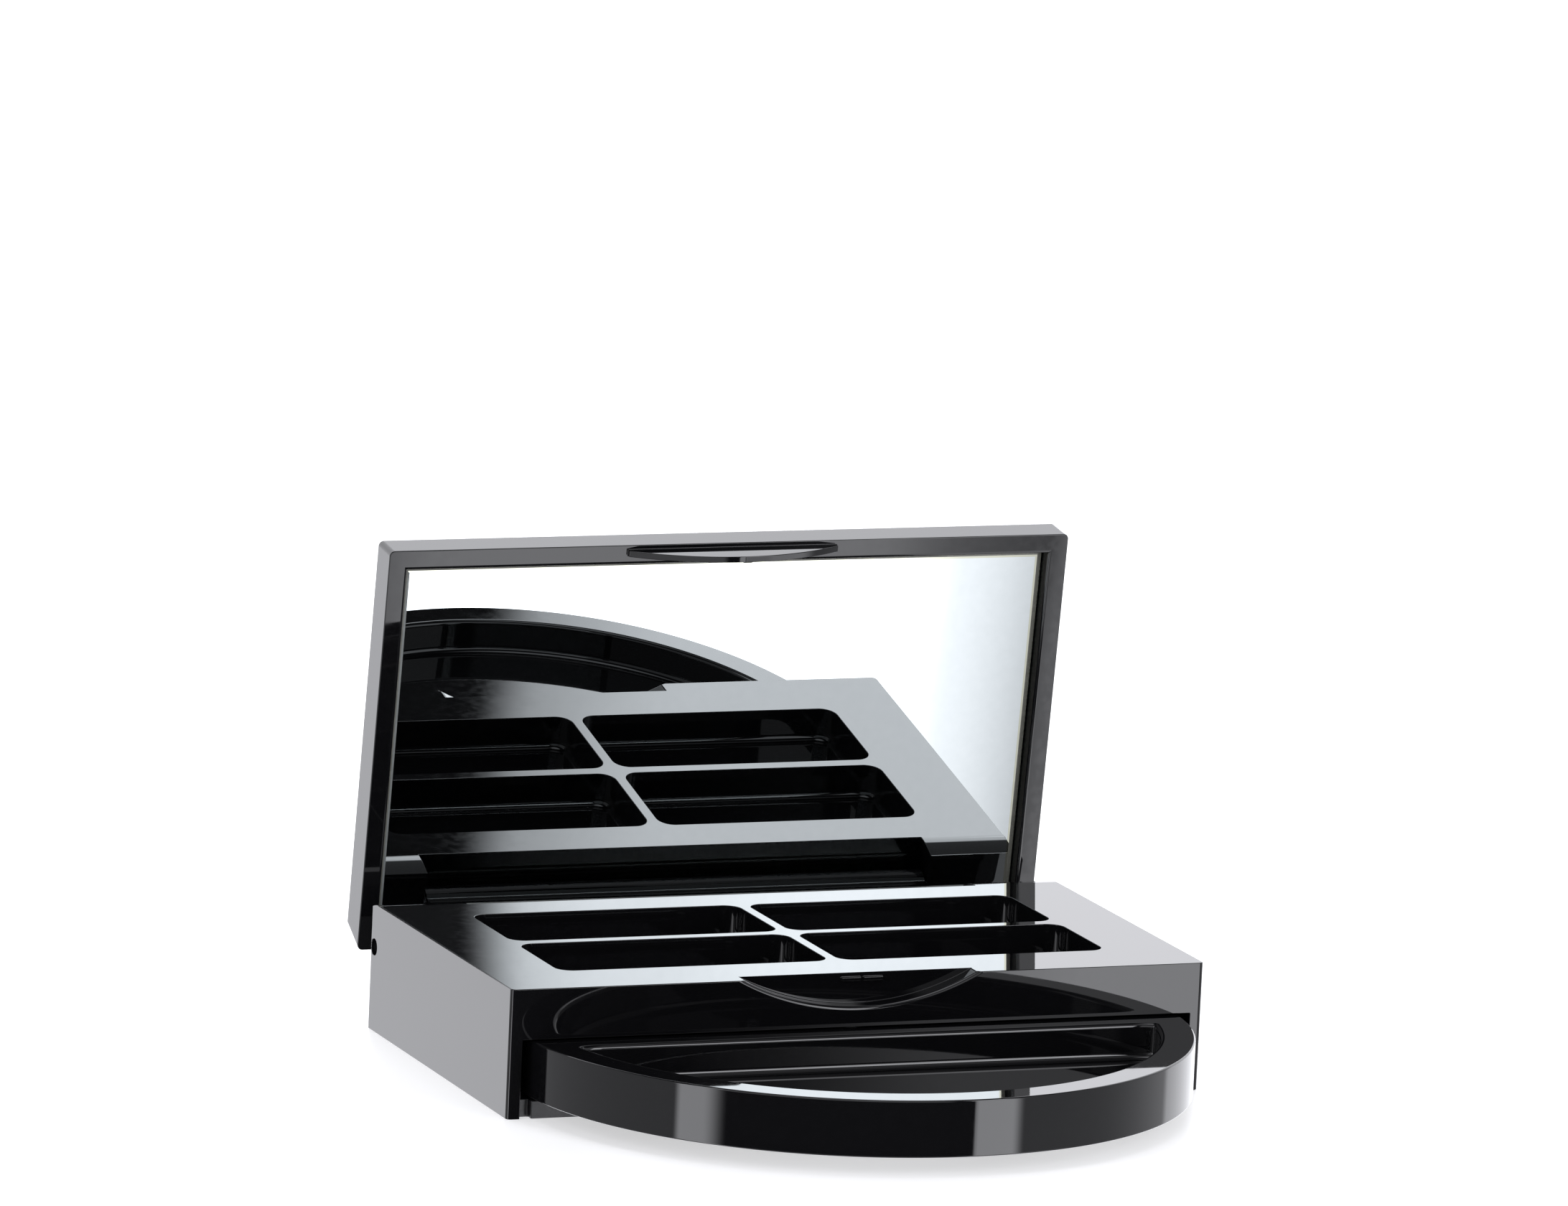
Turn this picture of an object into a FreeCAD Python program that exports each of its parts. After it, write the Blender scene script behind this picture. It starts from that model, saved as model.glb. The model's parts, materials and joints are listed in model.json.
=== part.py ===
import FreeCAD, Part
import math
import os
from types import SimpleNamespace

import Sketcher

# Eyeshadow palette: a flat base with four wells, a mirrored lid on two hinge pins and a
# half round tray that swivels out of the front of the base on an upright pin.
# Millimetres, X to the right, Y to the back, Z up. The origin is the middle of the underside
# of the base. The palette stands open: the lid is up and the tray is turned out.

# Driving dimensions: name, millimetres or degrees, meaning
SIZES = [
    ("base_width", 80.0, "width of the base and of the lid"),
    ("base_depth", 45.2, "depth of the base and of the lid"),
    ("base_height", 14.2, "underside to deck"),
    ("corner_round", 0.6, "upright corners of base and lid"),
    ("edge_round", 0.25, "long outer edges of base and lid"),
    ("side_wall", 1.45, "side wall of the base beside the tray"),
    ("ledge_width", 0.7, "ledge on each side wall that the bottom plate seats against"),
    ("ledge_height", 0.8, "height of that ledge"),
    ("ledge_front_inset", 6.0, "front face to the start of that ledge"),
    ("plate_thickness", 2.0, "bottom plate"),
    ("plate_gap", 0.05, "bottom plate to the walls around it"),
    ("plate_notch_width", 1.2, "front corner notch of the bottom plate, across"),
    ("plate_notch_depth", 3.0, "front corner notch of the bottom plate, front to back"),
    ("well_length", 31.05, "one deck well, across"),
    ("well_width", 13.55, "one deck well, front to back"),
    ("well_depth", 3.9, "deck to well floor"),
    ("roof_thickness", 1.65, "floor of a deck well to the top of the tray slot"),
    ("well_corner", 1.8, "upright corners of a deck well"),
    ("well_floor_chamfer", 0.6, "floor edge of a deck well"),
    ("rib_across", 1.25, "rib between left and right wells"),
    ("rib_along", 1.46, "rib between front and rear wells"),
    ("well_front_margin", 7.9, "front face to the front wells"),
    ("notch_width", 27.0, "thumb notch at the deck edge"),
    ("notch_drop", 3.35, "deepest point of the thumb notch below the deck"),
    ("notch_depth", 2.0, "thumb notch, front to back"),
    ("notch_lip_round", 0.4, "front lip of the thumb notch"),
    ("catch_offset", 0.75, "middle of the catch to the right of the middle of the base"),
    ("catch_rib_width", 2.25, "one catch rib, across"),
    ("catch_rib_gap", 0.3, "space between the two catch ribs"),
    ("catch_rib_height", 0.4, "catch rib, top to bottom"),
    ("catch_rib_proud", 0.3, "catch rib in front of the back of the notch"),
    ("catch_rib_drop", 0.5, "deck to the top of a catch rib"),
    ("pin_diameter", 1.8, "hinge pin"),
    ("pin_length", 15.0, "hinge pin"),
    ("pin_end_sink", 0.8, "side face of the base to the end of a hinge pin"),
    ("pin_chamfer", 0.2, "ends of every pin"),
    ("pin_rear_inset", 1.4, "rear face to the hinge axis"),
    ("pin_height", 9.3, "underside to the hinge axis"),
    ("pin_running_gap", 0.03, "hinge pin to its bore in the knuckle, on the radius"),
    ("pin_bore_end_gap", 0.5, "inner end of a hinge pin to the end of its bore"),
    ("recess_width", 60.0, "hinge recess between the two ears"),
    ("ear_fall", 0.65, "fall of the rounded top of the ears, from the deck to the rear face"),
    ("knuckle_radius", 1.8, "round foot of the lid about the hinge axis"),
    ("knuckle_gap", 0.3, "knuckle to the hinge recess"),
    ("leg_front_inset", 0.9, "hinge leg in front of the hinge axis"),
    ("leg_side_gap", 0.3, "hinge leg of the lid to an ear"),
    ("leg_rear_inset", 0.2, "hinge leg behind the rear face"),
    ("lid_thickness", 3.9, "lid plate"),
    ("lid_gap", 0.3, "deck to the closed lid"),
    ("lid_overhang", 0.85, "rear face of the base to the rear edge of the closed lid, on the mirror side"),
    ("lid_rear_slant", 0.4, "that edge to the rear edge of the lid on the outer side"),
    ("lid_angle", 83.0, "lid opening as it stands, in degrees"),
    ("frame_width", 2.2, "lid frame at the front and the sides of the mirror"),
    ("frame_hinge_width", 2.75, "lid frame at the hinge side of the mirror"),
    ("frame_chamfer", 0.35, "inner edge of the lid frame"),
    ("mirror_sink", 1.65, "lid frame to the face of the mirror"),
    ("mirror_thickness", 1.1, "mirror glass"),
    ("mirror_gap", 0.12, "mirror to the lid frame"),
    ("adhesive_thickness", 0.15, "adhesive sheet behind the mirror"),
    ("adhesive_inset", 2.0, "edge of the mirror to the edge of the adhesive sheet"),
    ("tongue_width", 24.6, "latch tongue of the lid, across"),
    ("tongue_height", 3.5, "latch tongue below the lid frame, at its middle"),
    ("tongue_end_height", 0.5, "latch tongue below the lid frame, at its ends"),
    ("tongue_thickness", 0.7, "latch tongue, front to back"),
    ("tongue_inset", 0.5, "front edge of the lid to the latch tongue"),
    ("bead_width", 1.2, "snap bead on the latch tongue, across"),
    ("bead_height", 0.7, "snap bead, top to bottom"),
    ("bead_proud", 0.22, "snap bead behind the latch tongue"),
    ("bead_tip_gap", 0.4, "tip of the latch tongue to the snap bead"),
    ("tray_radius", 37.5, "outer edge of the tray about its pivot"),
    ("tray_lift", 0.25, "bottom plate to tray, filled by the washer at the pivot"),
    ("tray_headroom", 0.2, "tray rim to the top of the slot"),
    ("tray_rear_gap", 0.25, "closed tray to the rear of its bay"),
    ("tray_rim", 3.8, "rim of the tray"),
    ("tray_floor", 2.3, "floor of the tray"),
    ("tray_bar", 6.45, "pivot to the straight wall of the tray well"),
    ("tray_well_corner", 2.5, "upright corners of the tray well"),
    ("tray_well_floor_round", 0.8, "floor edge of the tray well"),
    ("tray_corner", 0.8, "upright corners at the straight side of the tray"),
    ("tray_edge_round", 0.5, "upper outer edge of the tray"),
    ("tray_foot_chamfer", 0.4, "lower outer edge of the tray"),
    ("tray_rim_chamfer", 0.45, "inner edge of the tray rim"),
    ("pivot_inset", 3.5, "front face of the base to the tray pivot"),
    ("pivot_diameter", 3.0, "tray pivot pin"),
    ("pivot_running_gap", 0.05, "tray pivot pin to its bore in the tray, on the radius"),
    ("pivot_plate_bite", 1.2, "tray pivot pin in the bottom plate"),
    ("pivot_cover", 0.55, "upper end of the tray pivot pin to the floor of the thumb notch"),
    ("washer_diameter", 9.0, "washer under the tray"),
]

SHEET_NAME = "Sizes"
TOLERANCE = 1e-4
OVERCUT = 2.0
FULL_TURN = 360.0


class Size:
    """A length with the sheet expression that drives it."""

    def __init__(self, value, text):
        self.value = float(value)
        self.text = text

    @staticmethod
    def of(other):
        """Return other as a Size, also where it is a plain number."""
        if isinstance(other, Size):
            return other
        return Size(other, str(float(other)))

    def __add__(self, other):
        other = Size.of(other)
        return Size(self.value + other.value, f"({self.text} + {other.text})")

    def __sub__(self, other):
        other = Size.of(other)
        return Size(self.value - other.value, f"({self.text} - {other.text})")

    def __mul__(self, other):
        other = Size.of(other)
        return Size(self.value * other.value, f"({self.text} * {other.text})")

    def __truediv__(self, other):
        other = Size.of(other)
        return Size(self.value / other.value, f"({self.text} / {other.text})")

    def __neg__(self):
        return Size(-self.value, f"(0 - {self.text})")

    def root(self):
        """Return the square root."""
        return Size(math.sqrt(self.value), f"sqrt({self.text})")


NOTHING = Size.of(0)

doc = FreeCAD.newDocument("EyeshadowPalette")
sheet = doc.addObject("Spreadsheet::Sheet", SHEET_NAME)
for row, (name, value, meaning) in enumerate(SIZES, start=1):
    sheet.set(f"A{row}", name)
    sheet.set(f"B{row}", str(value))
    sheet.set(f"C{row}", meaning)
    sheet.setAlias(f"B{row}", name)
doc.recompute()
dim = SimpleNamespace(**{name: Size(value, f"{SHEET_NAME}.{name}") for name, value, meaning in SIZES})

# Places that several pieces share
half_width = dim.base_width / 2
half_depth = dim.base_depth / 2
hinge_y = half_depth - dim.pin_rear_inset
recess_radius = dim.knuckle_radius + dim.knuckle_gap
pivot_y = dim.pivot_inset - half_depth
tray_bottom = dim.plate_thickness + dim.tray_lift
slot_top = dim.base_height - dim.well_depth - dim.roof_thickness
tray_top = slot_top - dim.tray_headroom
tray_height = tray_top - tray_bottom
pivot_top = dim.base_height - dim.notch_drop - dim.pivot_cover
bay_half_width = half_width - dim.side_wall
bay_rear = pivot_y + dim.tray_radius + dim.tray_rear_gap

# Lid places, counted from the hinge axis with the lid closed
lid_face = dim.base_height + dim.lid_gap - dim.pin_height
lid_front = dim.pin_rear_inset - dim.base_depth
leg_half_width = dim.recess_width / 2 - dim.leg_side_gap
mirror_bed = dim.mirror_sink + dim.mirror_thickness + dim.adhesive_thickness
mirror_front = lid_front + dim.frame_width
mirror_rear = dim.pin_rear_inset - dim.frame_hinge_width


def new_body(label):
    """Start a sub-part."""
    body = doc.addObject("PartDesign::Body", label)
    body.Label = label
    return body


def new_sketch(body, name, role, offset=None):
    """Start a sketch on one of the body's own origin planes, moved along the plane's normal."""
    sketch = body.newObject("Sketcher::SketchObject", name)
    plane = next(feature for feature in body.Origin.OriginFeatures if feature.Role == role)
    sketch.AttachmentSupport = (plane, [""])
    sketch.MapMode = "FlatFace"
    if offset is not None:
        sketch.setExpression("AttachmentOffset.Base.z", offset.text)
    return sketch


def tie(sketch, kind, geometry, point, size, name):
    """Hold one coordinate of a sketch point to a size."""
    index = sketch.addConstraint(Sketcher.Constraint(kind, geometry, point, size.value))
    sketch.renameConstraint(index, name)
    sketch.setExpression(f"Constraints.{name}", size.text)


def tie_radius(sketch, geometry, size, name):
    """Hold the radius of a circle or an arc to a size."""
    index = sketch.addConstraint(Sketcher.Constraint("Radius", geometry, size.value))
    sketch.renameConstraint(index, name)
    sketch.setExpression(f"Constraints.{name}", size.text)


def draw_loop(sketch, corners, arcs=None):
    """Draw a closed loop of lines and arcs through corners.

    arcs maps the number of a corner to (radius, centre, counterclockwise) where the edge that
    leaves that corner is an arc.
    """
    arcs = arcs or {}
    first = sketch.GeometryCount
    count = len(corners)
    points = [FreeCAD.Vector(x.value, y.value, 0) for x, y in corners]
    starts = []
    for number, point in enumerate(points):
        following = points[(number + 1) % count]
        if number not in arcs:
            sketch.addGeometry(Part.LineSegment(point, following), False)
            starts.append(1)
            continue
        radius, centre, counterclockwise = arcs[number]
        middle = FreeCAD.Vector(centre[0].value, centre[1].value, 0)
        ends = (point, following) if counterclockwise else (following, point)
        angles = [math.atan2(end.y - middle.y, end.x - middle.x) for end in ends]
        circle = Part.Circle(middle, FreeCAD.Vector(0, 0, 1), radius.value)
        sketch.addGeometry(Part.ArcOfCircle(circle, angles[0], angles[1]), False)
        starts.append(1 if counterclockwise else 2)
    for number in range(count):
        following = (number + 1) % count
        sketch.addConstraint(Sketcher.Constraint(
            "Coincident", first + number, 3 - starts[number], first + following, starts[following]))
    for number, (x, y) in enumerate(corners):
        geometry = first + number
        tie(sketch, "DistanceX", geometry, starts[number], x, f"corner{geometry}_x")
        tie(sketch, "DistanceY", geometry, starts[number], y, f"corner{geometry}_y")
    for number in arcs:
        tie_radius(sketch, first + number, arcs[number][0], f"arc{first + number}")


def draw_rectangle(sketch, left, right, low, high):
    """Draw a rectangle between two sizes across and two sizes up the sketch."""
    draw_loop(sketch, [(left, low), (right, low), (right, high), (left, high)])


def draw_circle(sketch, x, y, radius):
    """Draw a circle."""
    geometry = sketch.GeometryCount
    centre = FreeCAD.Vector(x.value, y.value, 0)
    sketch.addGeometry(Part.Circle(centre, FreeCAD.Vector(0, 0, 1), radius.value), False)
    tie(sketch, "DistanceX", geometry, 3, x, f"centre{geometry}_x")
    tie(sketch, "DistanceY", geometry, 3, y, f"centre{geometry}_y")
    tie_radius(sketch, geometry, radius, f"radius{geometry}")


def extrude(body, kind, name, sketch, length, both_ways=False, reverse=False):
    """Add a pad or a pocket of a sketch to a body."""
    feature = body.newObject(f"PartDesign::{kind}", name)
    feature.Profile = sketch
    feature.setExpression("Length", length.text)
    feature.SideType = "Symmetric" if both_ways else "One side"
    feature.Reversed = reverse
    doc.recompute()
    return feature


def dress(body, kind, name, size, wanted):
    """Fillet or chamfer the edges of the body's last feature that wanted accepts."""
    base = body.Tip
    edges = [f"Edge{number}" for number, edge in enumerate(base.Shape.Edges, start=1) if wanted(edge)]
    if not edges:
        raise RuntimeError(f"{name} finds no edge")
    feature = body.newObject(f"PartDesign::{kind}", name)
    feature.Base = (base, edges)
    feature.setExpression("Radius" if kind == "Fillet" else "Size", size.text)
    doc.recompute()
    return feature


def near(value, size):
    """Tell whether a measured coordinate is at a size."""
    return abs(value - size.value) < TOLERANCE


def level(edge, size):
    """Tell whether an edge lies in the level plane at a height."""
    return near(edge.BoundBox.ZMin, size) and near(edge.BoundBox.ZMax, size)


def upright(edge):
    """Tell whether an edge stands upright."""
    box = edge.BoundBox
    return box.ZLength > TOLERANCE and box.XLength < TOLERANCE and box.YLength < TOLERANCE


def rising(edge):
    """Tell whether an edge climbs without going sideways."""
    box = edge.BoundBox
    return box.ZLength > TOLERANCE and box.XLength < TOLERANCE


def within(edge, x_reach, y_low, y_high):
    """Tell whether an edge lies inside a block about the middle plane, seen from above."""
    box = edge.BoundBox
    inside_x = box.XMin > -x_reach.value - TOLERANCE and box.XMax < x_reach.value + TOLERANCE
    return inside_x and box.YMin > y_low.value - TOLERANCE and box.YMax < y_high.value + TOLERANCE


def segment_radius(width, rise):
    """Return the radius of an arc with a chord and a rise."""
    return (width * width / 4 + rise * rise) / (rise * 2)


def make_base_body():
    """Deck with four wells, walls, ears, tray bay and thumb notch, moulded in one piece."""
    body = new_body("base_body")
    sketch = new_sketch(body, "base_outline", "XY_Plane")
    draw_rectangle(sketch, -half_width, half_width, -half_depth, half_depth)
    extrude(body, "Pad", "base_block", sketch, dim.base_height)
    dress(body, "Fillet", "base_corners", dim.corner_round, upright)
    dress(body, "Fillet", "base_top_edges", dim.edge_round, lambda edge: level(edge, dim.base_height))

    # The bay is open at the front and below, where the bottom plate closes it
    sketch = new_sketch(body, "bay_outline", "XY_Plane")
    draw_rectangle(sketch, -bay_half_width, bay_half_width, -half_depth - OVERCUT, bay_rear)
    extrude(body, "Pocket", "tray_bay", sketch, slot_top, reverse=True)

    sketch = new_sketch(body, "ledge_outline", "XY_Plane", dim.plate_thickness)
    ledge_front = dim.ledge_front_inset - half_depth
    ledge_inner = bay_half_width - dim.ledge_width
    draw_rectangle(sketch, -bay_half_width, -ledge_inner, ledge_front, bay_rear)
    draw_rectangle(sketch, ledge_inner, bay_half_width, ledge_front, bay_rear)
    extrude(body, "Pad", "plate_ledges", sketch, dim.ledge_height)

    sketch = new_sketch(body, "well_outlines", "XY_Plane", dim.base_height)
    well_front = dim.well_front_margin - half_depth
    well_inner = dim.rib_across / 2
    well_outer = well_inner + dim.well_length
    for row in range(2):
        low = well_front + (dim.well_width + dim.rib_along) * row
        draw_rectangle(sketch, -well_outer, -well_inner, low, low + dim.well_width)
        draw_rectangle(sketch, well_inner, well_outer, low, low + dim.well_width)
    extrude(body, "Pocket", "deck_wells", sketch, dim.well_depth)
    well_rear = well_front + dim.well_width * 2 + dim.rib_along
    well_floor = dim.base_height - dim.well_depth
    in_wells = lambda edge: within(edge, well_outer, well_front, well_rear)
    dress(body, "Fillet", "well_corners", dim.well_corner, lambda edge: upright(edge) and in_wells(edge))
    dress(body, "Chamfer", "well_floors", dim.well_floor_chamfer,
          lambda edge: level(edge, well_floor) and in_wells(edge))

    # The hinge recess follows the turning knuckle and opens to the rear and to the deck
    sketch = new_sketch(body, "recess_outline", "YZ_Plane")
    recess_front = hinge_y - recess_radius
    recess_foot = (recess_radius * recess_radius - dim.pin_rear_inset * dim.pin_rear_inset).root()
    draw_loop(sketch, [
        (recess_front, dim.base_height + OVERCUT),
        (recess_front, dim.pin_height),
        (half_depth, dim.pin_height - recess_foot),
        (half_depth + OVERCUT, dim.pin_height - recess_foot),
        (half_depth + OVERCUT, dim.base_height + OVERCUT),
    ], {1: (recess_radius, (hinge_y, dim.pin_height), True)})
    extrude(body, "Pocket", "hinge_recess", sketch, dim.recess_width, both_ways=True)

    sketch = new_sketch(body, "ear_top_outline", "YZ_Plane")
    ear_radius = segment_radius((half_depth - recess_front) * 2, dim.ear_fall)
    draw_loop(sketch, [
        (recess_front, dim.base_height),
        (half_depth, dim.base_height - dim.ear_fall),
        (half_depth, dim.base_height),
    ], {0: (ear_radius, (recess_front, dim.base_height - ear_radius), False)})
    extrude(body, "Pocket", "ear_tops", sketch, dim.base_width + OVERCUT, both_ways=True)

    sketch = new_sketch(body, "pin_hole_outline", "YZ_Plane")
    draw_circle(sketch, hinge_y, dim.pin_height, dim.pin_diameter / 2)
    extrude(body, "Pocket", "pin_holes", sketch, dim.base_width + OVERCUT, both_ways=True)

    sketch = new_sketch(body, "pivot_hole_outline", "XY_Plane", slot_top)
    draw_circle(sketch, NOTHING, pivot_y, dim.pivot_diameter / 2)
    extrude(body, "Pocket", "pivot_hole", sketch, pivot_top - slot_top, reverse=True)

    add_thumb_notch(body)
    return body


def add_thumb_notch(body):
    """Cut the thumb notch into the front of the base and leave the catch ribs at its back."""
    radius = segment_radius(dim.notch_width, dim.notch_drop)
    front = -half_depth
    back = front + dim.notch_depth
    lip = dim.notch_lip_round
    sketch = new_sketch(body, "notch_outline", "YZ_Plane")
    sketch.setExpression("AttachmentOffset.Base.y", (dim.base_height - dim.notch_drop + radius).text)
    draw_loop(sketch, [
        (back, NOTHING),
        (back, -radius),
        (front + lip, -radius),
        (front, -radius - lip),
        (front - OVERCUT, -radius - lip),
        (front - OVERCUT, NOTHING),
    ], {2: (lip, (front + lip, -radius - lip), True)})
    notch = body.newObject("PartDesign::Groove", "thumb_notch")
    notch.Profile = sketch
    notch.ReferenceAxis = (sketch, ["H_Axis"])
    notch.Angle = FULL_TURN
    doc.recompute()

    sketch = new_sketch(body, "catch_outline", "XZ_Plane", half_depth - dim.notch_depth)
    rib_top = dim.base_height - dim.catch_rib_drop
    for side in (-1, 1):
        inner = dim.catch_offset + dim.catch_rib_gap / 2 * side
        outer = inner + dim.catch_rib_width * side
        left, right = (outer, inner) if side < 0 else (inner, outer)
        draw_rectangle(sketch, left, right, rib_top - dim.catch_rib_height, rib_top)
    extrude(body, "Pad", "catch_ribs", sketch, dim.catch_rib_proud)


def make_bottom_plate():
    """Plate that closes the tray bay from below and carries the foot of the tray pivot."""
    body = new_body("bottom_plate")
    sketch = new_sketch(body, "plate_outline", "XY_Plane")
    side = bay_half_width - dim.plate_gap
    inner = side - dim.plate_notch_width
    rear = bay_rear - dim.plate_gap
    step = dim.plate_notch_depth - half_depth
    draw_loop(sketch, [
        (-inner, -half_depth), (inner, -half_depth), (inner, step), (side, step),
        (side, rear), (-side, rear), (-side, step), (-inner, step),
    ])
    extrude(body, "Pad", "plate_block", sketch, dim.plate_thickness)
    sketch = new_sketch(body, "plate_pivot_outline", "XY_Plane", dim.plate_thickness)
    draw_circle(sketch, NOTHING, pivot_y, dim.pivot_diameter / 2)
    extrude(body, "Pocket", "plate_pivot_hole", sketch, dim.pivot_plate_bite)
    return body


def make_swivel_tray():
    """Half round tray with a well, drawn turned out of the front of the base."""
    body = new_body("swivel_tray")
    straight = pivot_y + dim.pivot_inset
    reach = (dim.tray_radius * dim.tray_radius - dim.pivot_inset * dim.pivot_inset).root()
    sketch = new_sketch(body, "tray_outline", "XY_Plane", tray_bottom)
    draw_loop(sketch, [(-reach, straight), (reach, straight)],
              {0: (dim.tray_radius, (NOTHING, pivot_y), True)})
    extrude(body, "Pad", "tray_block", sketch, tray_height)
    dress(body, "Fillet", "tray_corners", dim.tray_corner, upright)

    sketch = new_sketch(body, "tray_well_outline", "XY_Plane", tray_top)
    well_radius = dim.tray_radius - dim.tray_rim
    well_rear = pivot_y - dim.tray_bar
    well_reach = (well_radius * well_radius - dim.tray_bar * dim.tray_bar).root()
    draw_loop(sketch, [(-well_reach, well_rear), (well_reach, well_rear)],
              {0: (well_radius, (NOTHING, pivot_y), True)})
    extrude(body, "Pocket", "tray_well", sketch, tray_height - dim.tray_floor)
    in_well = lambda edge: within(edge, well_reach, pivot_y - well_radius, well_rear)
    inner_reach = well_reach + dim.tray_rim_chamfer * 2
    inner_front = pivot_y - well_radius - dim.tray_rim_chamfer
    inner_rear = well_rear + dim.tray_rim_chamfer
    floor = tray_bottom + dim.tray_floor
    dress(body, "Fillet", "tray_well_corners", dim.tray_well_corner,
          lambda edge: upright(edge) and in_well(edge))
    dress(body, "Fillet", "tray_well_floor", dim.tray_well_floor_round, lambda edge: level(edge, floor))
    dress(body, "Chamfer", "tray_rim_inner_edge", dim.tray_rim_chamfer,
          lambda edge: level(edge, tray_top) and in_well(edge))
    dress(body, "Chamfer", "tray_foot", dim.tray_foot_chamfer, lambda edge: level(edge, tray_bottom))
    dress(body, "Fillet", "tray_outer_edge", dim.tray_edge_round,
          lambda edge: level(edge, tray_top) and not within(edge, inner_reach, inner_front, inner_rear))

    sketch = new_sketch(body, "tray_bore_outline", "XY_Plane", tray_top)
    draw_circle(sketch, NOTHING, pivot_y, dim.pivot_diameter / 2 + dim.pivot_running_gap)
    extrude(body, "Pocket", "tray_bore", sketch, tray_height)
    return body


def make_washer():
    """Thin washer that carries the tray just clear of the bottom plate."""
    body = new_body("tray_washer")
    sketch = new_sketch(body, "washer_outline", "XY_Plane", dim.plate_thickness)
    draw_circle(sketch, NOTHING, pivot_y, dim.washer_diameter / 2)
    draw_circle(sketch, NOTHING, pivot_y, dim.pivot_diameter / 2 + dim.pivot_running_gap)
    extrude(body, "Pad", "washer_ring", sketch, dim.tray_lift)
    return body


def make_pin(label, diameter, length):
    """Round pin with chamfered ends that stands on its own origin."""
    body = new_body(label)
    sketch = new_sketch(body, f"{label}_outline", "XY_Plane")
    draw_circle(sketch, NOTHING, NOTHING, diameter / 2)
    extrude(body, "Pad", f"{label}_rod", sketch, length)
    dress(body, "Chamfer", f"{label}_ends", dim.pin_chamfer,
          lambda edge: level(edge, NOTHING) or level(edge, length))
    return body


def make_hinge_pin(side):
    """Pin pressed through an ear into the knuckle of the lid, on the left or on the right."""
    pin = make_pin("hinge_pin_left" if side < 0 else "hinge_pin_right", dim.pin_diameter, dim.pin_length)
    outer_end = (half_width - dim.pin_end_sink) * side
    pin.Placement = FreeCAD.Placement(
        FreeCAD.Vector(), FreeCAD.Rotation(FreeCAD.Vector(0, 1, 0), -90 * side))
    pin.setExpression("Placement.Base.x", outer_end.text)
    pin.setExpression("Placement.Base.y", hinge_y.text)
    pin.setExpression("Placement.Base.z", dim.pin_height.text)
    return pin


def make_pivot_pin():
    """Upright pin from the bottom plate through the tray into the base."""
    foot = dim.plate_thickness - dim.pivot_plate_bite
    pin = make_pin("tray_pivot_pin", dim.pivot_diameter, pivot_top - foot)
    pin.setExpression("Placement.Base.y", pivot_y.text)
    pin.setExpression("Placement.Base.z", foot.text)
    return pin


def stand_open(part):
    """Put a piece of the lid on the hinge axis and turn it up to where the lid stands."""
    part.Placement = FreeCAD.Placement(
        FreeCAD.Vector(), FreeCAD.Rotation(FreeCAD.Vector(-1, 0, 0), dim.lid_angle.value))
    part.setExpression("Placement.Base.y", hinge_y.text)
    part.setExpression("Placement.Base.z", dim.pin_height.text)
    part.setExpression("Placement.Rotation.Angle", dim.lid_angle.text)


def make_lid_shell():
    """Lid plate with the mirror bed, hinge leg and latch tongue, drawn closed on the hinge axis."""
    body = new_body("lid_shell")
    lid_top = lid_face + dim.lid_thickness
    lid_rear = dim.pin_rear_inset + dim.lid_overhang
    sketch = new_sketch(body, "lid_outline", "YZ_Plane")
    draw_loop(sketch, [
        (lid_front, lid_face),
        (lid_rear, lid_face),
        (lid_rear - dim.lid_rear_slant, lid_top),
        (lid_front, lid_top),
    ])
    extrude(body, "Pad", "lid_plate", sketch, dim.base_width, both_ways=True)
    dress(body, "Fillet", "lid_corners", dim.corner_round, rising)
    dress(body, "Fillet", "lid_edges", dim.edge_round,
          lambda edge: level(edge, lid_top) or level(edge, lid_face))

    sketch = new_sketch(body, "mirror_bed_outline", "XY_Plane", lid_face)
    bed_half_width = half_width - dim.frame_width
    draw_rectangle(sketch, -bed_half_width, bed_half_width, mirror_front, mirror_rear)
    extrude(body, "Pocket", "mirror_bed", sketch, mirror_bed, reverse=True)
    dress(body, "Chamfer", "frame_inner_edge", dim.frame_chamfer,
          lambda edge: level(edge, lid_face) and within(edge, bed_half_width, mirror_front, mirror_rear))

    sketch = new_sketch(body, "leg_outline", "YZ_Plane")
    leg_rear = dim.pin_rear_inset - dim.leg_rear_inset
    foot = (dim.knuckle_radius * dim.knuckle_radius - leg_rear * leg_rear).root()
    neck = (dim.knuckle_radius * dim.knuckle_radius - dim.leg_front_inset * dim.leg_front_inset).root()
    leg_top = lid_face + dim.edge_round
    draw_loop(sketch, [
        (-dim.leg_front_inset, leg_top),
        (-dim.leg_front_inset, neck),
        (leg_rear, -foot),
        (leg_rear, leg_top),
    ], {1: (dim.knuckle_radius, (NOTHING, NOTHING), True)})
    extrude(body, "Pad", "hinge_leg", sketch, leg_half_width * 2, both_ways=True)

    bore_depth = (dim.pin_end_sink + dim.pin_length + dim.pin_bore_end_gap) - (half_width - leg_half_width)
    for side_name, offset, into_leg in (("left", -leg_half_width, True), ("right", leg_half_width, False)):
        sketch = new_sketch(body, f"pin_bore_{side_name}_outline", "YZ_Plane", offset)
        draw_circle(sketch, NOTHING, NOTHING, dim.pin_diameter / 2 + dim.pin_running_gap)
        extrude(body, "Pocket", f"pin_bore_{side_name}", sketch, bore_depth, reverse=into_leg)

    add_latch_tongue(body)
    stand_open(body)
    return body


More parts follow.
